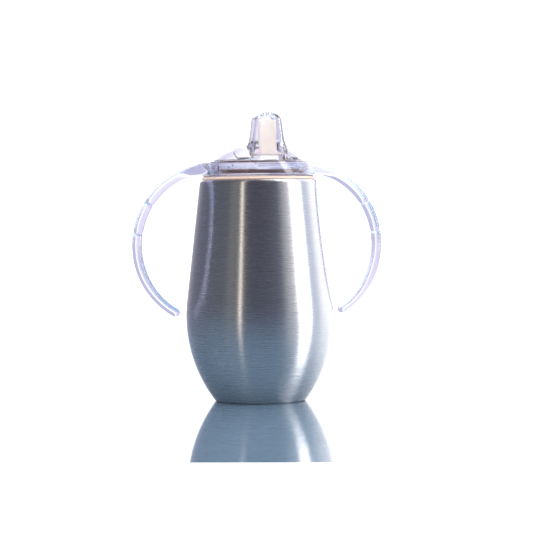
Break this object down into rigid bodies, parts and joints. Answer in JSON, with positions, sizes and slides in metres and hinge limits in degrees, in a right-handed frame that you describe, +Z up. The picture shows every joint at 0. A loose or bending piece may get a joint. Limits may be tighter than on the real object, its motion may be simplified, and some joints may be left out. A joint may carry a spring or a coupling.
{
  "type": "sippy cup",
  "caption": "Steel vacuum-walled toddler cup with a clear spouted lid, silicone valve and seal, and a clear lock ring with two curved handles.",
  "frame": {"origin": "centre of the foot, on the surface the cup stands on", "axes": "+Z up along the cup's axis; the two handles lie along X; the spout stands upright, forward of the axis, towards the front, which is -Y"},
  "size_m": [0.1356, 0.077, 0.1492],
  "materials": {
    "brushed_shell": "fine brushing round the body",
    "liner_steel": "electropolished satin",
    "base_steel": "spun satin",
    "solder": "dull solder",
    "getter": "sintered matt",
    "clear_lid": "clear, polished",
    "clear_handles": "clear, polished",
    "seal_silicone": "translucent silicone",
    "valve_silicone": "milky silicone"
  },
  "bodies": {
    "cup": {"outer_shell": "brushed_shell", "inner_liner": "liner_steel", "bottom_plate": "base_steel", "vacuum_seal_bead": "solder", "getter_capsule": "getter", "base_cover": "base_steel"},
    "lid": {"lid_body": "clear_lid", "lid_gasket": "seal_silicone"},
    "valve": {"spout_valve": "valve_silicone"},
    "handles": {"handle_ring": "clear_handles"}
  },
  "joints": [
    {"name": "lid_lift", "type": "slide", "parent": "cup", "child": "lid", "axis": [0, 0, 1], "range_m": [0, 0.085]},
    {"name": "handle_turn", "type": "hinge", "parent": "lid", "child": "handles", "pos_m": [0, 0, 0.12], "axis": [0, 0, 1], "range_deg": [0, 45]},
    {"name": "valve_pull", "type": "slide", "parent": "lid", "child": "valve", "axis": [0, 0, -1], "range_m": [0, 0.045]}
  ]
}
